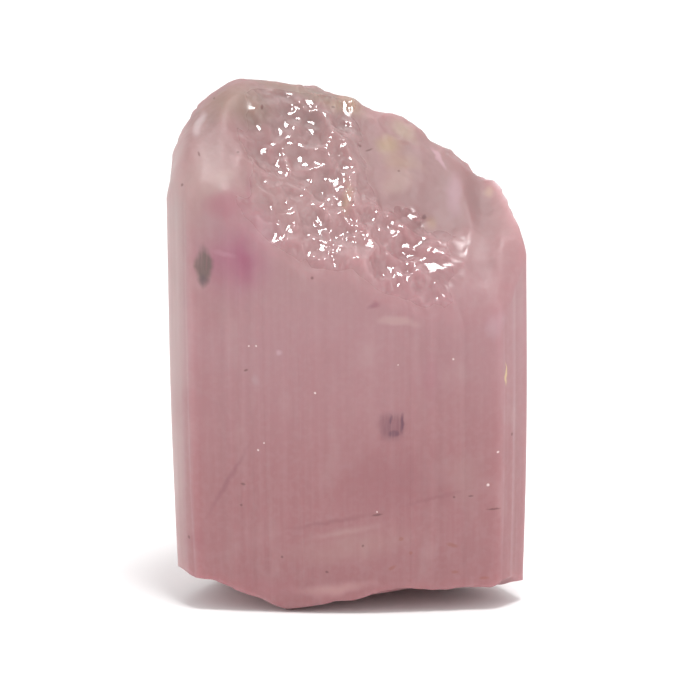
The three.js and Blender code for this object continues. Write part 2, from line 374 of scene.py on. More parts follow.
# The broken slope with its walls and its scoops.
def slope_height(x, y):
    plane = SLOPE_FOOT + SLOPE_RISE * (y - FRONT_Y) - SLOPE_FALL * x
    left = ramp(beyond_left_wall(x, y), *LEFT_WALL)
    right = ramp(x - RIGHT_WALL_AT, *RIGHT_WALL)
    kept = 1 + (WORN_RELIEF - 1) * worn_share(x, y)
    return plane + left + right + kept * scooped(x, y / SLOPE_STRETCH, SLOPE_SCOOPS)


# How far the top rolls down into the front face. Out is 1 at the edge of the prism.
def lip_fall(x, y, out):
    over_lip = np.clip((out - LIP_FROM) / (1 - LIP_FROM), 0, 1)
    at_break = smoothstep(x, *BREAK_LEFT_SIDE) * smoothstep(x, *BREAK_RIGHT_SIDE)
    fall = LIP_FALL + (BREAK_LIP_FALL - LIP_FALL) * at_break
    return fall * (1 - np.sqrt(1 - over_lip * over_lip)) * smoothstep(-y, *LIP_COMES_IN)


# Both walls melt into the shoulders, except at the crest, where the break is crisp.
def top_rounding(x, y):
    on_left = smoothstep(beyond_left_wall(x, y), *WALL_COMES_IN)
    on_right = smoothstep(x - RIGHT_WALL_AT, *WALL_COMES_IN)
    on_walls = np.maximum(on_left, on_right) * smoothstep(CREST_Y - y, *CREST_CRISP)
    return BREAK_BLEND + (WALL_BLEND - BREAK_BLEND) * on_walls


print("the left wall starts at x", round(float(beyond_left_wall(0, FRONT_Y)), 2), "mm on the front face")

# %% Height of the foot
FOOT_SCOOPS = [(1.7, 0.22, 5)]
FOOT_SCOOPS_COME_IN = (0, 0.6)  # how far above the flat part they come in
# A chip has its centre, how far it reaches and how high it goes.
FOOT_CHIPS = [
    (5.6, -7.6, 9.0, 1.25),  # the broad hollow under the right front
    (2.5, -6.4, 3.2, 1.45), (9.0, -4.6, 3.2, 2.0),
    (-9.4, -5.5, 6.3, 1.75), (-8.6, -2.5, 5.6, 1.7),  # the two hollows under the left front
    (8.9, -0.8, 3.3, 1.3), (6.9, 4.4, 4.2, 2.6), (1.9, 8.6, 3.4, 1.5),
    (-3.4, 8.3, 3.9, 2.9), (-7.0, 4.6, 3.0, 1.2), (-9.3, 1.0, 3.1, 1.7),
]
CHIP_BLEND = 0.25  # size of the rounding where two chips meet
BEVEL_FROM = 0.84  # share of the way out at which wear all round the edge starts
BEVEL_RISE = 0.22
CURL_HEIGHT = 3.6  # how far the foot's break curls up the front face
CURL_CLIMB = 0.28  # it climbs to the right by this much for each millimetre
CURL_DEPTH = 0.5
FRONT_FACE = (3.5, 5.0)  # how far in front of the axis the front face starts and is full


# The foot is level, with the chips rising out of it towards its edge. Out is 1 at the edge.
def foot_height(x, y, out):
    height = BEVEL_RISE * np.maximum((out - BEVEL_FROM) / (1 - BEVEL_FROM), 0) ** 2
    for chip_x, chip_y, reach, rise in FOOT_CHIPS:
        near = np.hypot(x - chip_x, y - chip_y) / reach
        raised = -blended_min(-height, -rise * (1 - near * near), CHIP_BLEND)
        height = np.where(near < 1, raised, height)
    return height + scooped(x, y, FOOT_SCOOPS) * smoothstep(height, *FOOT_SCOOPS_COME_IN)


def curl_top(x):
    return CURL_HEIGHT + CURL_CLIMB * np.maximum(x, 0)


# How far the front face is set back at a place near the foot.
def front_curl(x, y, z):
    below = np.maximum(curl_top(x) - z, 0) / curl_top(x)
    return CURL_DEPTH * below * below * smoothstep(-y, *FRONT_FACE)


print(len(FOOT_CHIPS), "chips out of the foot")

# %% [markdown]
# ## Wrap a block round the form
# The block's top and bottom are square grids and its sides are rings. Each point keeps its neighbours
# and only moves to its place, so the mesh is closed and its faces stay turned outwards. Remeshing the
# form instead would blunt its edges. How far each place is broken, hackly, grown, rubbed, chipped or
# curled is kept with the points, because the fine relief and the gloss need it.

# %% The points of the block
CELLS_ACROSS = 160
CELLS_UP = 74

steps = np.linspace(-1, 1, CELLS_ACROSS + 1)
grid_x, grid_y = [g.ravel() for g in np.meshgrid(steps, steps, indexing="ij")]
grid_index = np.arange((CELLS_ACROSS + 1) ** 2).reshape(CELLS_ACROSS + 1, CELLS_ACROSS + 1)
front_and_right = [grid_index[-1, :-1], grid_index[:0:-1, -1]]
back_and_left = [grid_index[0, :0:-1], grid_index[:-1, 0]]
rim = np.concatenate(front_and_right + back_and_left)
ring_z = np.repeat(np.linspace(-1, 1, CELLS_UP + 1)[1:-1], len(rim))
ring_x = np.tile(grid_x[rim], CELLS_UP - 1)
ring_y = np.tile(grid_y[rim], CELLS_UP - 1)
block_x = np.concatenate([grid_x, grid_x, ring_x])
block_y = np.concatenate([grid_y, grid_y, ring_y])
block_z = np.concatenate([np.ones(grid_x.size), -np.ones(grid_x.size), ring_z])
print("the block has", len(block_z), "points")

# %% Their places on the crystal
x, y, out, stands_out = stretched_to_outline(block_x, block_y)
shoulder, slope = shoulder_height(x, y), slope_height(x, y)
foot = foot_height(x, y, out)
up = block_z / 2 + 0.5
top = blended_min(shoulder, slope, top_rounding(x, y)) - lip_fall(x, y, out)
z = foot + (top - foot) * up
size = (1 - TAPER * (np.maximum(WIDEST_AT - z, 0) / WIDEST_AT) ** 2) * (1 + stands_out)
points = np.stack([x * size + LEAN * (WIDEST_AT - z), y * size + front_curl(x, y, z), z], axis=1)

low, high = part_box("crystal")
middle = (points.min(axis=0) + points.max(axis=0)) / 2
shift = np.array([(low.x + high.x) / 2 / MM - middle[0], (low.y + high.y) / 2 / MM - middle[1], -z.min()])
points = (points + shift) * MM
print("shifted by", shift.round(3), "mm to the solid's place")

# %% Where each kind of surface is
RAGGED_SCOOPS = [(1.9, 2.2, 31), (0.7, 0.9, 32)]
RAGGED_MIDDLE = 0.75  # taken off, so that the wander goes both ways
RAGGED_LIP = 0.05  # share of the way out for each millimetre of wander
SLOPE_CUTS = (-0.15, 0.35)  # how far the slope lies below the shoulder
BACK_BREAK = (0.3, 1.5)  # how far behind the crest it starts and is full
BACK_BREAK_SHARE = 0.8
FOOT_BREAK = (0, 0.3)  # how far above the flat part of the foot
WORN_LACKS = 0.8  # share of the break's dimples that the worn right rear lacks
FRONT_HALF = (1.5, 3.5)  # how far in front of the axis
BREAK_EDGE = (0.9, 1.0)  # share of the way out over which the break ends at the lip
RUBBED_EDGE = (0.8, 1.0)  # and over which the rubbing ends there
FRONT_LACKS = 0.88  # share of the striations that the front face lacks
LEFT_SHOULDER_ENDS = (-6.0, -3.8)  # across
RIGHT_SHOULDER_STARTS = (4.2, 6.4)  # across
CREST_MIDDLE = 0.4  # how far behind the skyline the chips of the crest are centred
CREST_HALF_WIDTH = (1.6, 0.2)  # how far to either side they start and are full
CREST_ACROSS = (-6.0, -3.0)  # and where they do so across
CURL_COMES_IN = 0.6  # how far above the top of the curl its ripples start
CURL_FULL_AT = 2.0  # the height at which they are full

on_top, on_foot = block_z == 1, block_z == -1
slope_broken = smoothstep(shoulder - slope, *SLOPE_CUTS)
back_broken = BACK_BREAK_SHARE * smoothstep(y, CREST_Y + BACK_BREAK[0], CREST_Y + BACK_BREAK[1])
foot_broken = smoothstep(foot, *FOOT_BREAK) * on_foot
# A break's edges are ragged, so the places where it starts and stops wander by this much.
wander_by = scooped(x, y, RAGGED_SCOOPS) - RAGGED_MIDDLE
worn_smooth = worn_share(x + wander_by, y + wander_by)
at_front = smoothstep(-y, *FRONT_HALF)
off_lip = 1 - smoothstep(out + RAGGED_LIP * np.maximum(wander_by, 0), *BREAK_EDGE) * at_front
broken_slope = slope_broken * (1 - WORN_LACKS * worn_smooth) * off_lip
broken = np.where(on_top, np.maximum(broken_slope, back_broken), foot_broken)
grown = np.where(on_top | on_foot, 0.0, 1 - FRONT_LACKS * smoothstep(-y, *FRONT_FACE))
# The hackles keep off the worn right rear, the lip and both shoulders.
off_left = smoothstep(x + wander_by, *LEFT_SHOULDER_ENDS)
off_right = 1 - smoothstep(x - wander_by, *RIGHT_SHOULDER_STARTS)
hackly = np.where(on_top, slope_broken * (1 - worn_smooth) * off_lip * (off_left * off_right), 0.0)
rubbed = np.where(on_top, 1 - smoothstep(out, *RUBBED_EDGE) * at_front, 0.0)
near_crest = smoothstep(abs(y - CREST_Y - CREST_MIDDLE), *CREST_HALF_WIDTH)
crest = np.where(on_top, near_crest * smoothstep(x, *CREST_ACROSS), 0.0)
on_front = smoothstep(-y, *FRONT_FACE) * ~(on_top | on_foot)
curled = on_front * smoothstep(z, curl_top(x) + CURL_COMES_IN, CURL_FULL_AT)
finish_shares = {"broken": broken, "grown": grown, "hackly": hackly, "curled": curled}
finish_shares |= {"rubbed": rubbed, "crest": crest}
print({name: round(float(values.mean()), 3) for name, values in finish_shares.items()})

# %% The mesh
first_foot = grid_x.size
ring_points = 2 * first_foot + np.arange(ring_x.size).reshape(CELLS_UP - 1, -1)
rings = np.vstack([first_foot + rim, ring_points, rim])
cell = grid_index[:-1, :-1].ravel()
next_x, next_y = CELLS_ACROSS + 1, 1
top_faces = np.stack([cell, cell + next_x, cell + next_x + next_y, cell + next_y], axis=1)
foot_faces = first_foot + top_faces[:, ::-1]
below, above = rings[:-1], rings[1:]
side_faces = np.stack([below, np.roll(below, -1, 1), np.roll(above, -1, 1), above], axis=2).reshape(-1, 4)
faces = np.vstack([top_faces, foot_faces, side_faces])

form_mesh = bpy.data.meshes.new("crystal_form")
form_mesh.from_pydata(points.tolist(), [], faces.tolist())
for name, values in finish_shares.items():
    layer = form_mesh.attributes.new(name, "FLOAT", "POINT")
    layer.data.foreach_set("value", values.astype(np.float32))
form = bpy.data.objects.new("crystal_form", form_mesh)
bpy.context.collection.objects.link(form)
print("form", len(points), "points,", len(faces), "faces, size", np.ptp(points, axis=0) / MM)

# %% [markdown]
# ## Fine relief
# Striations, hackles and ripples follow the surface. A bump map could draw them, but it leaves the
# outline smooth and the mesh plain, so Geometry Nodes push each point along its normal instead. Noise
# that hardly changes along the prism makes the striations. The squared distance to scattered points
# makes small scoops with sharp rims, as glass breaks. Each layer acts only where its attribute says,
# and its width and depth are named inputs of the tree.

# %% The layers of relief
# Each has a texture, how it is drawn out, where it acts, its width and its depth in millimetres.
RELIEF_LAYERS = {
    "Striation": ("noise", (1, 1, 0.02), "grown", 0.3, 0.07),
    "Hackle": ("scoops", (1, 1, 1), "hackly", 1.05, 0.3),
    "Splinter": ("scoops", (1, 1, 0.6), "hackly", 0.36, 0.11),
    "Dimple": ("scoops", (1, 1, 1), "broken", 1.5, 0.1),
    "Pitting": ("noise", (1, 1, 1), "rubbed", 0.33, 0.07),
    "Crest Chip": ("scoops", (1, 1, 1), "crest", 1.1, 0.32),
    "Foot Ripple": ("noise", (0.3, 0.3, 1), "curled", 0.5, 0.1),
}
MIDDLE_OF = {"noise": 0.5, "scoops": 0.22}  # taken off, so that a layer goes both in and out
WARP_WIDTH = 0.8  # the scoops' places are bent by noise of this width
WARP_REACH = 0.5
RELIEF_SEED = 4.0
print(len(RELIEF_LAYERS), "layers, the deepest", max(layer[-1] for layer in RELIEF_LAYERS.values()), "mm")

# %% The relief tree's named inputs
stone = bpy.data.materials.new("pink_elbaite_tourmaline")
relief = bpy.data.node_groups.new("growth_and_break_relief", "GeometryNodeTree")
relief.interface.new_socket("Geometry", in_out="INPUT", socket_type="NodeSocketGeometry")
relief.interface.new_socket("Geometry", in_out="OUTPUT", socket_type="NodeSocketGeometry")
input_values = {"Seed": RELIEF_SEED, "Warp Width": WARP_WIDTH * MM, "Warp Reach": WARP_REACH * MM}
for name, (*_, width, depth) in RELIEF_LAYERS.items():
    input_values[name + " Width"] = width * MM
    input_values[name + " Depth"] = depth * MM
sockets = {}
for name, value in input_values.items():
    sockets[name] = relief.interface.new_socket(name, in_out="INPUT", socket_type="NodeSocketFloat")
    sockets[name].default_value = value
print("inputs", list(sockets))

# %% The relief tree
MATH, VECTOR = "ShaderNodeMath", "ShaderNodeVectorMath"
given = add(relief, "NodeGroupInput").outputs
position = add(relief, "GeometryNodeInputPosition").outputs[0]
normal = add(relief, "GeometryNodeInputNormal").outputs[0]
warp_scale = add(relief, MATH, {"operation": "DIVIDE"}, {0: 1.0, 1: given["Warp Width"]}).outputs[0]
wander = add(relief, "ShaderNodeTexNoise", {}, {"Vector": position, "Scale": warp_scale}).outputs["Color"]
wander = add(relief, VECTOR, {"operation": "SUBTRACT"}, {0: wander, 1: (0.5, 0.5, 0.5)}).outputs[0]
wander = add(relief, VECTOR, {"operation": "SCALE"}, {0: wander, "Scale": given["Warp Reach"]}).outputs[0]
warped = add(relief, VECTOR, {"operation": "ADD"}, {0: position, 1: wander}).outputs[0]

lift = 0.0
for name, (texture, drawn_out, where, *_) in RELIEF_LAYERS.items():
    start = warped if texture == "scoops" else position
    drawn = add(relief, VECTOR, {"operation": "MULTIPLY"}, {0: start, 1: drawn_out}).outputs[0]
    scale = add(relief, MATH, {"operation": "DIVIDE"}, {0: 1.0, 1: given[name + " Width"]}).outputs[0]
    laid = {"Vector": drawn, "W": given["Seed"], "Scale": scale}
    if texture == "noise":
        shape = add(relief, "ShaderNodeTexNoise", {"noise_dimensions": "4D"}, laid).outputs[0]
    else:
        gap = add(relief, "ShaderNodeTexVoronoi", {"voronoi_dimensions": "4D"}, laid).outputs["Distance"]
        shape = add(relief, MATH, {"operation": "MULTIPLY"}, {0: gap, 1: gap}).outputs[0]
    centred = add(relief, MATH, {"operation": "SUBTRACT"}, {0: shape, 1: MIDDLE_OF[texture]}).outputs[0]
    deep = add(relief, MATH, {"operation": "MULTIPLY"}, {0: centred, 1: given[name + " Depth"]}).outputs[0]
    here = add(relief, "GeometryNodeInputNamedAttribute", {"data_type": "FLOAT"}, {"Name": where}).outputs[0]
    lift = add(relief, MATH, {"operation": "MULTIPLY_ADD"}, {0: deep, 1: here, 2: lift}).outputs[0]

push = add(relief, VECTOR, {"operation": "SCALE"}, {0: normal, "Scale": lift}).outputs[0]
moved = add(relief, "GeometryNodeSetPosition", {}, {"Geometry": given["Geometry"], "Offset": push}).outputs[0]
smooth = add(relief, "GeometryNodeSetShadeSmooth", {}, {"Geometry": moved}).outputs[0]
real = add(relief, "GeometryNodeRealizeInstances", {}, {"Geometry": smooth}).outputs[0]
dressed = add(relief, "GeometryNodeSetMaterial", {}, {"Geometry": real, "Material": stone}).outputs[0]
add(relief, "NodeGroupOutput", {}, {"Geometry": dressed})
print("relief nodes", len(relief.nodes))

# %% Apply the relief and take the plain mesh
modifier = form.modifiers.new("relief", "NODES")
modifier.node_group = relief
for name, value in input_values.items():
    modifier[sockets[name].identifier] = value
evaluated = form.evaluated_get(bpy.context.evaluated_depsgraph_get())
crystal_mesh = bpy.data.meshes.new_from_object(evaluated)
crystal_mesh.name = "crystal_surface"
crystal = bpy.data.objects.new("crystal_surface", crystal_mesh)
bpy.context.collection.objects.link(crystal)
bpy.data.objects.remove(form)
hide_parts("crystal")
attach(crystal, "root")
print("surface", len(crystal_mesh.vertices), "points", [m.name for m in crystal_mesh.materials])

# %% [markdown]
# ## Where the marks of the stone lie
# This stone has marks of its own: a magenta zone, two dark inclusions, clay in its hollows, pale veils and
# fine dark specks. Some of the marks are painted light and shade instead: white glints, pale reflections and
# a highlight, and shade on the lower front, on the ledge and where the lamp falls on the crest and the worn
# slope. Random spots would make it some other stone. So each is named here with its place in the photograph,
# in pixels, and a ray from the camera through that pixel finds the place on the stone. From there on the mark
# belongs to the stone: it is a ball or an ellipsoid in the object's own coordinates and stays put in every
# view.

# %% Find a photographed place on the stone
PHOTO_SIZE = 700
PIXEL = 1 / 21.45  # millimetres on the front face
bpy.context.view_layer.update()
forward = (AIM - camera.location).normalized()
rightward = Vector((1, 0, 0))
upward = rightward.cross(forward)
PIXEL_SPREAD = camera_data.sensor_width / camera_data.lens / PHOTO_SIZE  # for each unit of distance


def on_stone(across, down):
    to_right = rightward * (across - PHOTO_SIZE / 2) * PIXEL_SPREAD
    to_top = upward * (PHOTO_SIZE / 2 - down) * PIXEL_SPREAD
    hit, place_hit, *_ = crystal.ray_cast(camera.location, (forward + to_right + to_top).normalized())
    if not hit:
        print("no stone behind pixel", across, down)
    return place_hit / MM


print("the photo's middle is on the stone at", on_stone(PHOTO_SIZE / 2, PHOTO_SIZE / 2))

# %% Soft patches
# A soft patch has its place, half its width and height in pixels, its turn in degrees, its colour,
# its strength, and the share of its size at which it is at full strength. A round one has one radius.
SOFT_PATCHES = {
    # Painted shade: a darker rose that tones down the lamp's sheen on the up-facing worn slope.
    "painted shade on the worn slope": (440, 192, 88, 92, 20, "#8b6464", 0.65, 0.35),
    "beige crown": (236, 100, 60, 34, 0, "#8d7868", 0.6, 0.2),
    # The crest's beige, darkened as painted shade against the lamp that the crest faces.
    "beige crest with painted shade": (300, 92, 75, 9, 12, "#8a7767", 0.6, 0.2),
    "clay on the crest": (346, 106, 30, 12, 15, "#ab957f", 0.65, 0.1),
    "clay at the broken edge": (402, 130, 24, 9, 35, "#a4907b", 0.65, 0.1),
    "clay hollow": (388, 145, 24, 12, 10, "#a98f73", 0.75, 0.1),
    "clay wash": (402, 162, 30, 14, 20, "#a98b78", 0.55, 0.1),
    "pale scab": (397, 181, 22, 15, 0, "#b39890", 0.5, 0.2),
    "clay streak": (347, 200, 9, 27, 4, "#b49a80", 0.5, 0.05),
    "brown halo": (429, 219, 11, 9, 0, "#a5826c", 0.6, 0.1),
    "clay on the right shoulder": (492, 190, 9, "#b8a08a", 0.5, 0.1),
    "grey shoulder veil": (204, 180, 38, 60, 0, "#b29c97", 0.35, 0.1),
    # Painted highlight along the edge where the left side meets the shoulder.
    "painted highlight on the shoulder edge": (200, 124, 6, 18, 0, "#c1b1b2", 0.6, 0.2),
    # Painted reflection: the white room mirrored where the shoulder turns down into the front face.
    "painted reflection on the ledge": (226, 174, 24, 9, -8, "#bda49f", 0.3, 0.1),
    "rose below the ledge": (226, 206, 34, 18, -12, "#a26973", 0.6, 0.1),
    # Painted shade on the small wall where the shoulder steps down into the break.
    "painted shade on the ledge wall": (249, 188, 5, 22, 0, "#a16571", 0.4, 0.1),
    "magenta halo": (238, 250, 66, 70, 0, "#ad6d87", 0.4, 0.0),
    "magenta zone": (236, 264, 46, 40, 0, "#a04a6e", 0.42, 0.0),
    "magenta heart": (246, 260, 15, 36, 0, "#983c62", 0.52, 0.0),
    "plum beside the inclusion": (214, 269, 9, 17, 0, "#85455c", 0.6, 0.0),
    "pale rose streak": (224, 254, 16, 4, 15, "#bd8f9c", 0.4, 0.2),
    "pale ridge": (439, 158, 3, 17, -38, "#bd98a1", 0.6, 0.3),
    # Painted reflection: a pale lilac sheen on the smooth saddle of the right slope.
    "painted lilac reflection on the right slope": (452, 195, 13, 30, 0, "#b4919c", 0.5, 0.1),
    "pale veil under the break": (396, 322, 28, 7, 0, "#bd9b9a", 0.6, 0.3),
    "lilac veil": (495, 326, 13, 20, 0, "#bd9fa8", 0.45, 0.1),
    "pale puff": (258, 383, 9, 13, 0, "#b2959a", 0.45, 0.1),
    # Painted glint: a small highlight of the lamp on the front face.
    "painted glint puff": (279, 353, 4.5, "#c7a4b0", 0.6, 0.2),
    "rose patch": (430, 378, 22, 36, 0, "#a46675", 0.3, 0.05),
    # Painted shade: the lower front made darker, as light from above leaves it.
    "painted shade low on the front": (400, 480, 120, 60, 5, "#95585f", 0.5, 0.0),
    "pale wash low on the right": (465, 480, 26, 40, 8, "#ae8b89", 0.35, 0.05),
    "pale wash on the foot": (350, 548, 95, 22, -6, "#ad8884", 0.4, 0.05),
    "rose foot": (270, 588, 40, 18, 0, "#a86a71", 0.4, 0.05),
    "rose left corner": (196, 541, 12, 18, 10, "#9a5a62", 0.5, 0.1),
    "light rim of the foot": (335, 588, 60, 10, -4, "#c49a99", 0.65, 0.1),
    "healed crack at the left": (228, 481, 62, 4.5, -61, "#8d5560", 0.55, 0.0),
    "healed crack across": (330, 522, 64, 4, -11, "#8f5760", 0.55, 0.0),
    "pale line under that crack": (345, 532, 55, 5.5, -11, "#b99b97", 0.35, 0.0),
    "healed crack to the right": (435, 498, 46, 3.5, -13, "#8f5760", 0.45, 0.0),
    "plum fleck under the break": (374, 305, 10, 4, -20, "#8d5263", 0.6, 0.2),
}
print(len(SOFT_PATCHES), "soft patches")

# %% Specks, stains, and painted glints and pits
# A dark mark has its place and its radius in pixels, or half its width and height, and its turn.
DARK_MARKS = {
    "crown speck": (262, 107, 1.7, 3.0, 0), "crest speck": (333, 107, 2.1),
    "shoulder fleck": (214, 98, 2.6, 1.4, 20), "left shoulder speck": (199, 154, 1.3, 3.2, -25),
    "speck by the ledge": (238, 152, 1.7), "left edge speck": (182, 185, 2.0),
    "speck under the break": (312, 278, 1.9), "speck in the clay": (360, 146, 2.0),
    "arc in the clay": (369, 150, 6.0, 1.1, -12), "speck over the scab": (399, 171, 1.8),
    "speck by the clay streak": (353, 202, 1.9), "big pit": (424, 217, 2.6, 3.6, 30),
    "left corner speck": (189, 537, 2.2), "foot speck": (282, 557, 1.7),
    "right foot speck": (327, 572, 2.2, 1.4, 20), "low speck": (363, 546, 1.6),
    "low right speck": (454, 497, 1.6), "low right fleck": (471, 496, 3.4, 1.1, 0),
    "left low fleck": (243, 484, 3.2, 1.4, 10), "small low fleck": (241, 505, 1.5),
    "mid fleck": (246, 370, 2.6, 1.4, -20), "crack": (377, 515, 6.5, 1.5, -8),
    "right crack": (494, 509, 9.0, 1.2, 0), "edge fleck": (512, 434, 2.1),
}
# A brown mark is iron stain in a pit.
BROWN_MARKS = {
    "stain low": (401, 539, 2.9), "stain by the foot": (411, 553, 2.3),
    "stain on the foot": (392, 568, 5.0, 2.2, -35), "stain to the right": (452, 545, 7.0, 2.6, 18),
    "stain far right": (484, 578, 6.0, 2.0, 0), "stain at the corner": (455, 572, 4.5, 2.2, 0),
}
# Most are painted glints: white dots where the lamp's small highlights sit in pits of the front face. The
# right dusty pit and the pit below the break are white pits.
PAINTED_GLINTS_AND_PITS = {
    "left glint": (249, 346, 1.1), "second glint": (256, 346, 1.1),
    "middle glint": (315, 393, 1.3), "lower glint": (258, 450, 1.2),
    "lowest glint": (264, 443, 1.0), "glint over the crack": (377, 512, 1.1),
    "glint on the right": (453, 359, 1.3), "far right glint": (498, 452, 1.5),
    "right dusty pit": (488, 485, 2.0), "pit below the break": (398, 365, 1.0),
}
print(len(DARK_MARKS) + len(BROWN_MARKS) + len(PAINTED_GLINTS_AND_PITS), "small marks")

# %% [markdown]
# ## The stone
# Elbaite tourmaline has an index of refraction of 1.62 to 1.64. A grown face is satin from its
# striations, and a fresh break is glassy. Inside, fine tubes along the prism and healed cracks scatter
# the light. A glass shader alone would show the paper behind, and a plain coat of paint would look
# like plastic. So the shader mixes plain transmission with scattering below the surface, and the
# volume absorbs green light most, which leaves pink where the light's way is long.
# The colour is built as a painter would, from a ground and thin layers over it.

# %% Colours and coordinates of the stone
BODY = "#ab7e83"
# A darker rose: the stone's own in the clouds, and painted shade towards the foot in the height range.
DARK_ROSE_AND_PAINTED_SHADE = "#a16a6e"
# A paler colour, painted light on the upper body, where the lamp overhead falls.
PAINTED_LIGHT_ABOVE = "#a58583"
# The crest's beige, darkened as painted shade against the lamp that the crest faces.
CREST_BEIGE_AND_PAINTED_SHADE = "#917472"
VEIL = "#bb9d9d"
FIBRE = "#bea3a3"
# Painted light: the pale rim where the white paper shows through the thin edge and is mirrored in it.
PAINTED_RIM_LIGHT = "#bca6a4"
EDGE_LINE = "#a47579"
SPECK = "#5a2d30"
IRON_STAIN = "#9a5a4c"
# White of the painted glints, and of two pits.
GLINT_AND_PIT_WHITE = "#f3e6e4"

stone.use_nodes = True
tree = stone.node_tree
tree.nodes.clear()
coordinates = add(tree, "ShaderNodeTexCoord").outputs["Object"]
place = add(tree, VECTOR, {"operation": "SCALE"}, {0: coordinates, "Scale": 1 / MM}).outputs[0]
split_place = add(tree, "ShaderNodeSeparateXYZ", {}, {0: place}).outputs
hackly_here = add(tree, "ShaderNodeAttribute", {"attribute_name": "hackly"}).outputs["Fac"]
rubbed_here = add(tree, "ShaderNodeAttribute", {"attribute_name": "rubbed"}).outputs["Fac"]
SOFT_STEP = {"interpolation_type": "SMOOTHSTEP"}
MIX, COLOURS = "ShaderNodeMix", {"data_type": "RGBA"}
RANGE = "ShaderNodeMapRange"
print("the body's linear colour is", [round(c, 3) for c in linear(BODY)])


# %% Clouds, marks and wandering places
# A share from 0 to strength that comes and goes in clouds of a size in millimetres.
def clouds(size, drawn_out, starts, full, strength, shift=0.0, detail=3.0):
    scales = [1 / (size * k) for k in drawn_out]
    laid = {"Vector": place, "Scale": scales, "Location": (shift, 1.7 * shift, 2.3 * shift)}
    drawn = add(tree, "ShaderNodeMapping", {}, laid).outputs[0]
    noise = {"Vector": drawn, "Scale": 1.0, "Detail": detail}
    drift = add(tree, "ShaderNodeTexNoise", {}, noise).outputs["Fac"]
    limits = {"Value": drift, "From Min": starts, "From Max": full, "To Max": strength}
    return add(tree, RANGE, SOFT_STEP, limits).outputs[0]


# How far a place is from the middle of a mark, where 1 is its skin. A mark with only a radius is a
# ball. Any other is an ellipsoid or, between that and a double pyramid, a rounded diamond.
def away_from(mark, start, depth, diamond=False):
    across, down, half_width, *other_half = mark
    middle = on_stone(across, down)
    if not other_half:
        gap = add(tree, VECTOR, {"operation": "DISTANCE"}, {0: start, 1: middle}).outputs["Value"]
        return add(tree, MATH, {"operation": "DIVIDE"}, {0: gap, 1: half_width * PIXEL}).outputs[0]
    half_height, turn = other_half
    laid = {"Vector": start, "Location": middle, "Rotation": (0, math.radians(turn), 0)}
    laid["Scale"] = (half_width * PIXEL, depth, half_height * PIXEL)
    inside = add(tree, "ShaderNodeMapping", {"vector_type": "TEXTURE"}, laid).outputs[0]
    length = add(tree, VECTOR, {"operation": "LENGTH"}, {0: inside}).outputs["Value"]
    if not diamond:
        return length
    sides = add(tree, VECTOR, {"operation": "ABSOLUTE"}, {0: inside}).outputs[0]
    half_sum = {0: sides, 1: (0.5, 0.5, 0.5)}
    along_sides = add(tree, VECTOR, {"operation": "DOT_PRODUCT"}, half_sum).outputs["Value"]
    return add(tree, MATH, {"operation": "MULTIPLY_ADD"}, {0: length, 1: 0.5, 2: along_sides}).outputs[0]


# Places that wander a little, which makes the edges of the marks ragged.
def wandering(size, reach):
    drift = add(tree, "ShaderNodeTexNoise", {}, {"Vector": place, "Scale": 1 / size, "Detail": 1.0})
    centred = add(tree, VECTOR, {"operation": "SUBTRACT"}, {0: drift.outputs["Color"], 1: (0.5, 0.5, 0.5)})
    reached = add(tree, VECTOR, {"operation": "SCALE"}, {0: centred.outputs[0], "Scale": reach})
    return add(tree, VECTOR, {"operation": "ADD"}, {0: place, 1: reached.outputs[0]}).outputs[0]


print("clouds, marks and wander are ready,", len(tree.nodes), "nodes so far")


# %% Ground of the stone's colour, with painted light and shade by height
# A range has its axis, where it starts and is full in millimetres, its colour and its strength.
GROUND_RANGES = (
    # By height: painted light on the upper body, the crest's beige with painted shade, and painted shade
    # towards the foot.
    ("Z", 13.0, 20.0, PAINTED_LIGHT_ABOVE, 0.75), ("Z", 19.5, 23.5, CREST_BEIGE_AND_PAINTED_SHADE, 0.8), ("Z", 14.0, 5.0, DARK_ROSE_AND_PAINTED_SHADE, 0.95),
    # Across: a faint darker line near the right edge, and painted light along the left edge.
    ("X", 6.8, 7.3, EDGE_LINE, 0.15), ("X", -7.2, -8.1, PAINTED_RIM_LIGHT, 0.85),
)
# A cloud has its colour, its size, how it is drawn out, the noise at which it starts and at which it
# is full, its strength, its shift and its detail.
GROUND_CLOUDS = (
    (DARK_ROSE_AND_PAINTED_SHADE, 4.0, (1, 1, 1.3), 0.42, 0.7, 0.4, 3.0, 3.0),
    (VEIL, 1.5, (1, 1, 1.8), 0.5, 0.8, 0.32, 7.0, 2.0),
    (FIBRE, 0.22, (1, 1, 40), 0.35, 0.75, 0.08, 11.0, 3.0),
    (DARK_ROSE_AND_PAINTED_SHADE, 0.5, (1, 1, 25), 0.45, 0.75, 0.08, 5.0, 3.0),
    (VEIL, 0.3, (1, 1, 1), 0.4, 0.7, 0.09, 9.0, 1.0),
)
colour = linear(BODY)
for axis, start, end, tint, strength in GROUND_RANGES:
    limits = {"Value": split_place[axis], "From Min": start, "From Max": end, "To Max": strength}
    share = add(tree, RANGE, SOFT_STEP, limits).outputs[0]
    colour = add(tree, MIX, COLOURS, {0: share, 6: colour, 7: linear(tint)}).outputs[2]
for tint, *cloud in GROUND_CLOUDS:
    share = clouds(*cloud)
    colour = add(tree, MIX, COLOURS, {0: share, 6: colour, 7: linear(tint)}).outputs[2]
print(len(GROUND_RANGES) + len(GROUND_CLOUDS), "layers in the ground")

# %% Lay the patches on
soft_start = wandering(1.6, 1.1)
fine_start = wandering(0.5, 0.25)
THIN = 6  # pixels, below which the coarse wander would smear a mark away
PATCH_DEPTH = 2.2  # millimetres
LARGE_PATCH_DEPTH = 0.9  # a large patch is this deep as a share of its smaller half size

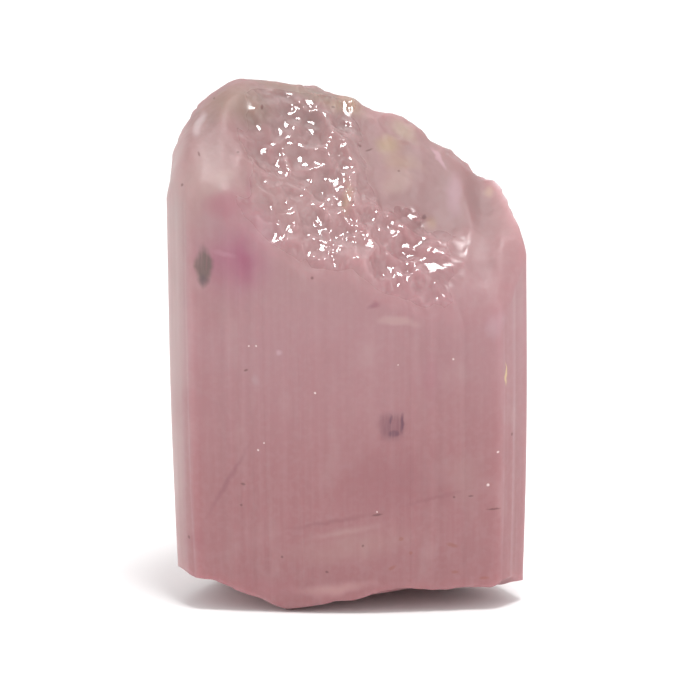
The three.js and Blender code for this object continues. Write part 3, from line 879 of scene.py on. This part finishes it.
for *mark, tint, strength, full_at in SOFT_PATCHES.values():
    depth = max(PATCH_DEPTH, LARGE_PATCH_DEPTH * min(mark[2:4]) * PIXEL)
    start = fine_start if min(mark[2:4]) < THIN else soft_start
    gap = away_from(mark, start, depth)
    limits = {"Value": gap, "From Min": 1.0, "From Max": full_at, "To Max": strength}
    share = add(tree, RANGE, SOFT_STEP, limits).outputs[0]
    colour = add(tree, MIX, COLOURS, {0: share, 6: colour, 7: linear(tint)}).outputs[2]
print(len(SOFT_PATCHES), "patches laid on")

# %% Lay the small marks on
MARK_DEPTH = 0.3  # millimetres
MARK_FADE = (1.15, 0.35)  # where a mark starts and is full, as a share of its size
# The white marks are mostly painted glints.
SMALL_MARKS = ((DARK_MARKS, SPECK, 0.62), (BROWN_MARKS, IRON_STAIN, 0.55), (PAINTED_GLINTS_AND_PITS, GLINT_AND_PIT_WHITE, 0.8))
FAR_OFF = 10.0

ragged_start = wandering(0.2, 0.07)
for marks, tint, strength in SMALL_MARKS:
    nearest = FAR_OFF
    for mark in marks.values():
        gap = away_from(mark, ragged_start, MARK_DEPTH)
        nearest = add(tree, MATH, {"operation": "MINIMUM"}, {0: gap, 1: nearest}).outputs[0]
    limits = {"Value": nearest, "From Min": MARK_FADE[0], "From Max": MARK_FADE[1], "To Max": strength}
    share = add(tree, RANGE, SOFT_STEP, limits).outputs[0]
    colour = add(tree, MIX, COLOURS, {0: share, 6: colour, 7: linear(tint)}).outputs[2]
print(len(SMALL_MARKS), "kinds of small mark laid on")

# %% [markdown]
# ## The two inclusions
# One is a lozenge of grey-brown fibres at the upper left, and the other a plum-grey block with dark
# bars to the right of the middle. Solid pieces set into the stone would have hard edges, and the real
# ones are blurred by the milky stone over them. So they are drawn in the stone's own colour, soft at
# their skins and about a millimetre deep, and upright fibres let the pink through. A yellow streak by
# the right edge is drawn in the same way.

# %% Inclusions
LOZENGE = (203.5, 266, 13, 26, 0)
LOZENGE_FOOT = (204, 280, 8, 10, 0)
BLOCK = (392, 427, 21, 21, 45)  # a rounded diamond turned by 45 degrees is a rounded square
BLOCK_BARS = {
    "left bar": (391, 419, 2.4, 6, 0),
    "right bar": (402, 424, 2.8, 14, 0),
    "low bar": (394, 434, 7, 5, 0),
}
YELLOW_STREAK = (506, 374, 1.3, 15, -2)
# Each has its place, its colour, its strength, where it is full, and whether it is a diamond.
INCLUSIONS = [
    (LOZENGE, "#6f5954", 0.95, 0.45, True),
    (LOZENGE_FOOT, "#5c454e", 0.55, 0.1, True),
    (BLOCK, "#7a4655", 0.7, 0.4, True),
    (YELLOW_STREAK, "#d9c690", 0.8, 0.4, False),
]
INCLUSIONS += [(bar, "#5f3049", 0.75, 0.3, False) for bar in BLOCK_BARS.values()]
INCLUSION_DEPTH = 1.0  # millimetres
FIBRE_SHARE = 0.45  # of an inclusion's strength, which comes and goes with its fibres

fibres = clouds(0.13, (1, 1, 14), 0.3, 0.62, 1.0, 2.0)
for mark, tint, strength, full_at, diamond in INCLUSIONS:
    gap = away_from(mark, fine_start, INCLUSION_DEPTH, diamond)
    limits = {"Value": gap, "From Min": 1.0, "From Max": full_at, "To Max": strength}
    solid = add(tree, RANGE, SOFT_STEP, limits).outputs[0]
    fibrous = {0: fibres, 1: FIBRE_SHARE, 2: 1 - FIBRE_SHARE}
    streaked = add(tree, MATH, {"operation": "MULTIPLY_ADD"}, fibrous).outputs[0]
    share = add(tree, MATH, {"operation": "MULTIPLY"}, {0: solid, 1: streaked}).outputs[0]
    colour = add(tree, MIX, COLOURS, {0: share, 6: colour, 7: linear(tint)}).outputs[2]
print(len(INCLUSIONS), "parts of inclusions")

# %% [markdown]
# ## Gloss and depth
# The scoops of the hackly break are nearly mirrors, the grown faces are satin, and the rubbed top
# between the scoops and the edge is matt. One roughness for the whole stone would lose that contrast,
# by which the eye tells a break from a grown face. All the relief is in the mesh, so the shader adds
# no bump.

# %% The shader
SATIN = 0.42
RUBBED = 0.55
GLASSY = 0.07
worn = add(tree, RANGE, {}, {"Value": rubbed_here, "To Min": SATIN, "To Max": RUBBED}).outputs[0]
gloss = {0: hackly_here, 1: GLASSY - RUBBED, 2: worn}
roughness = add(tree, MATH, {"operation": "MULTIPLY_ADD"}, gloss).outputs[0]
surface = add(
    tree, "ShaderNodeBsdfPrincipled", {"subsurface_method": "RANDOM_WALK"},
    {
        "Base Color": colour,
        "Roughness": roughness,
        "IOR": 1.63,
        "Subsurface Weight": 0.75,
        "Subsurface Radius": (1.0, 0.62, 0.68),
        "Subsurface Scale": 2.2 * MM,
        "Transmission Weight": 0.15,
    },
)
absorbing = add(tree, "ShaderNodeVolumeAbsorption", {}, {"Color": linear("#f3b3c2"), "Density": 60.0})
add(tree, "ShaderNodeOutputMaterial", {}, {"Surface": surface.outputs[0], "Volume": absorbing.outputs[0]})
print("material nodes", len(tree.nodes))
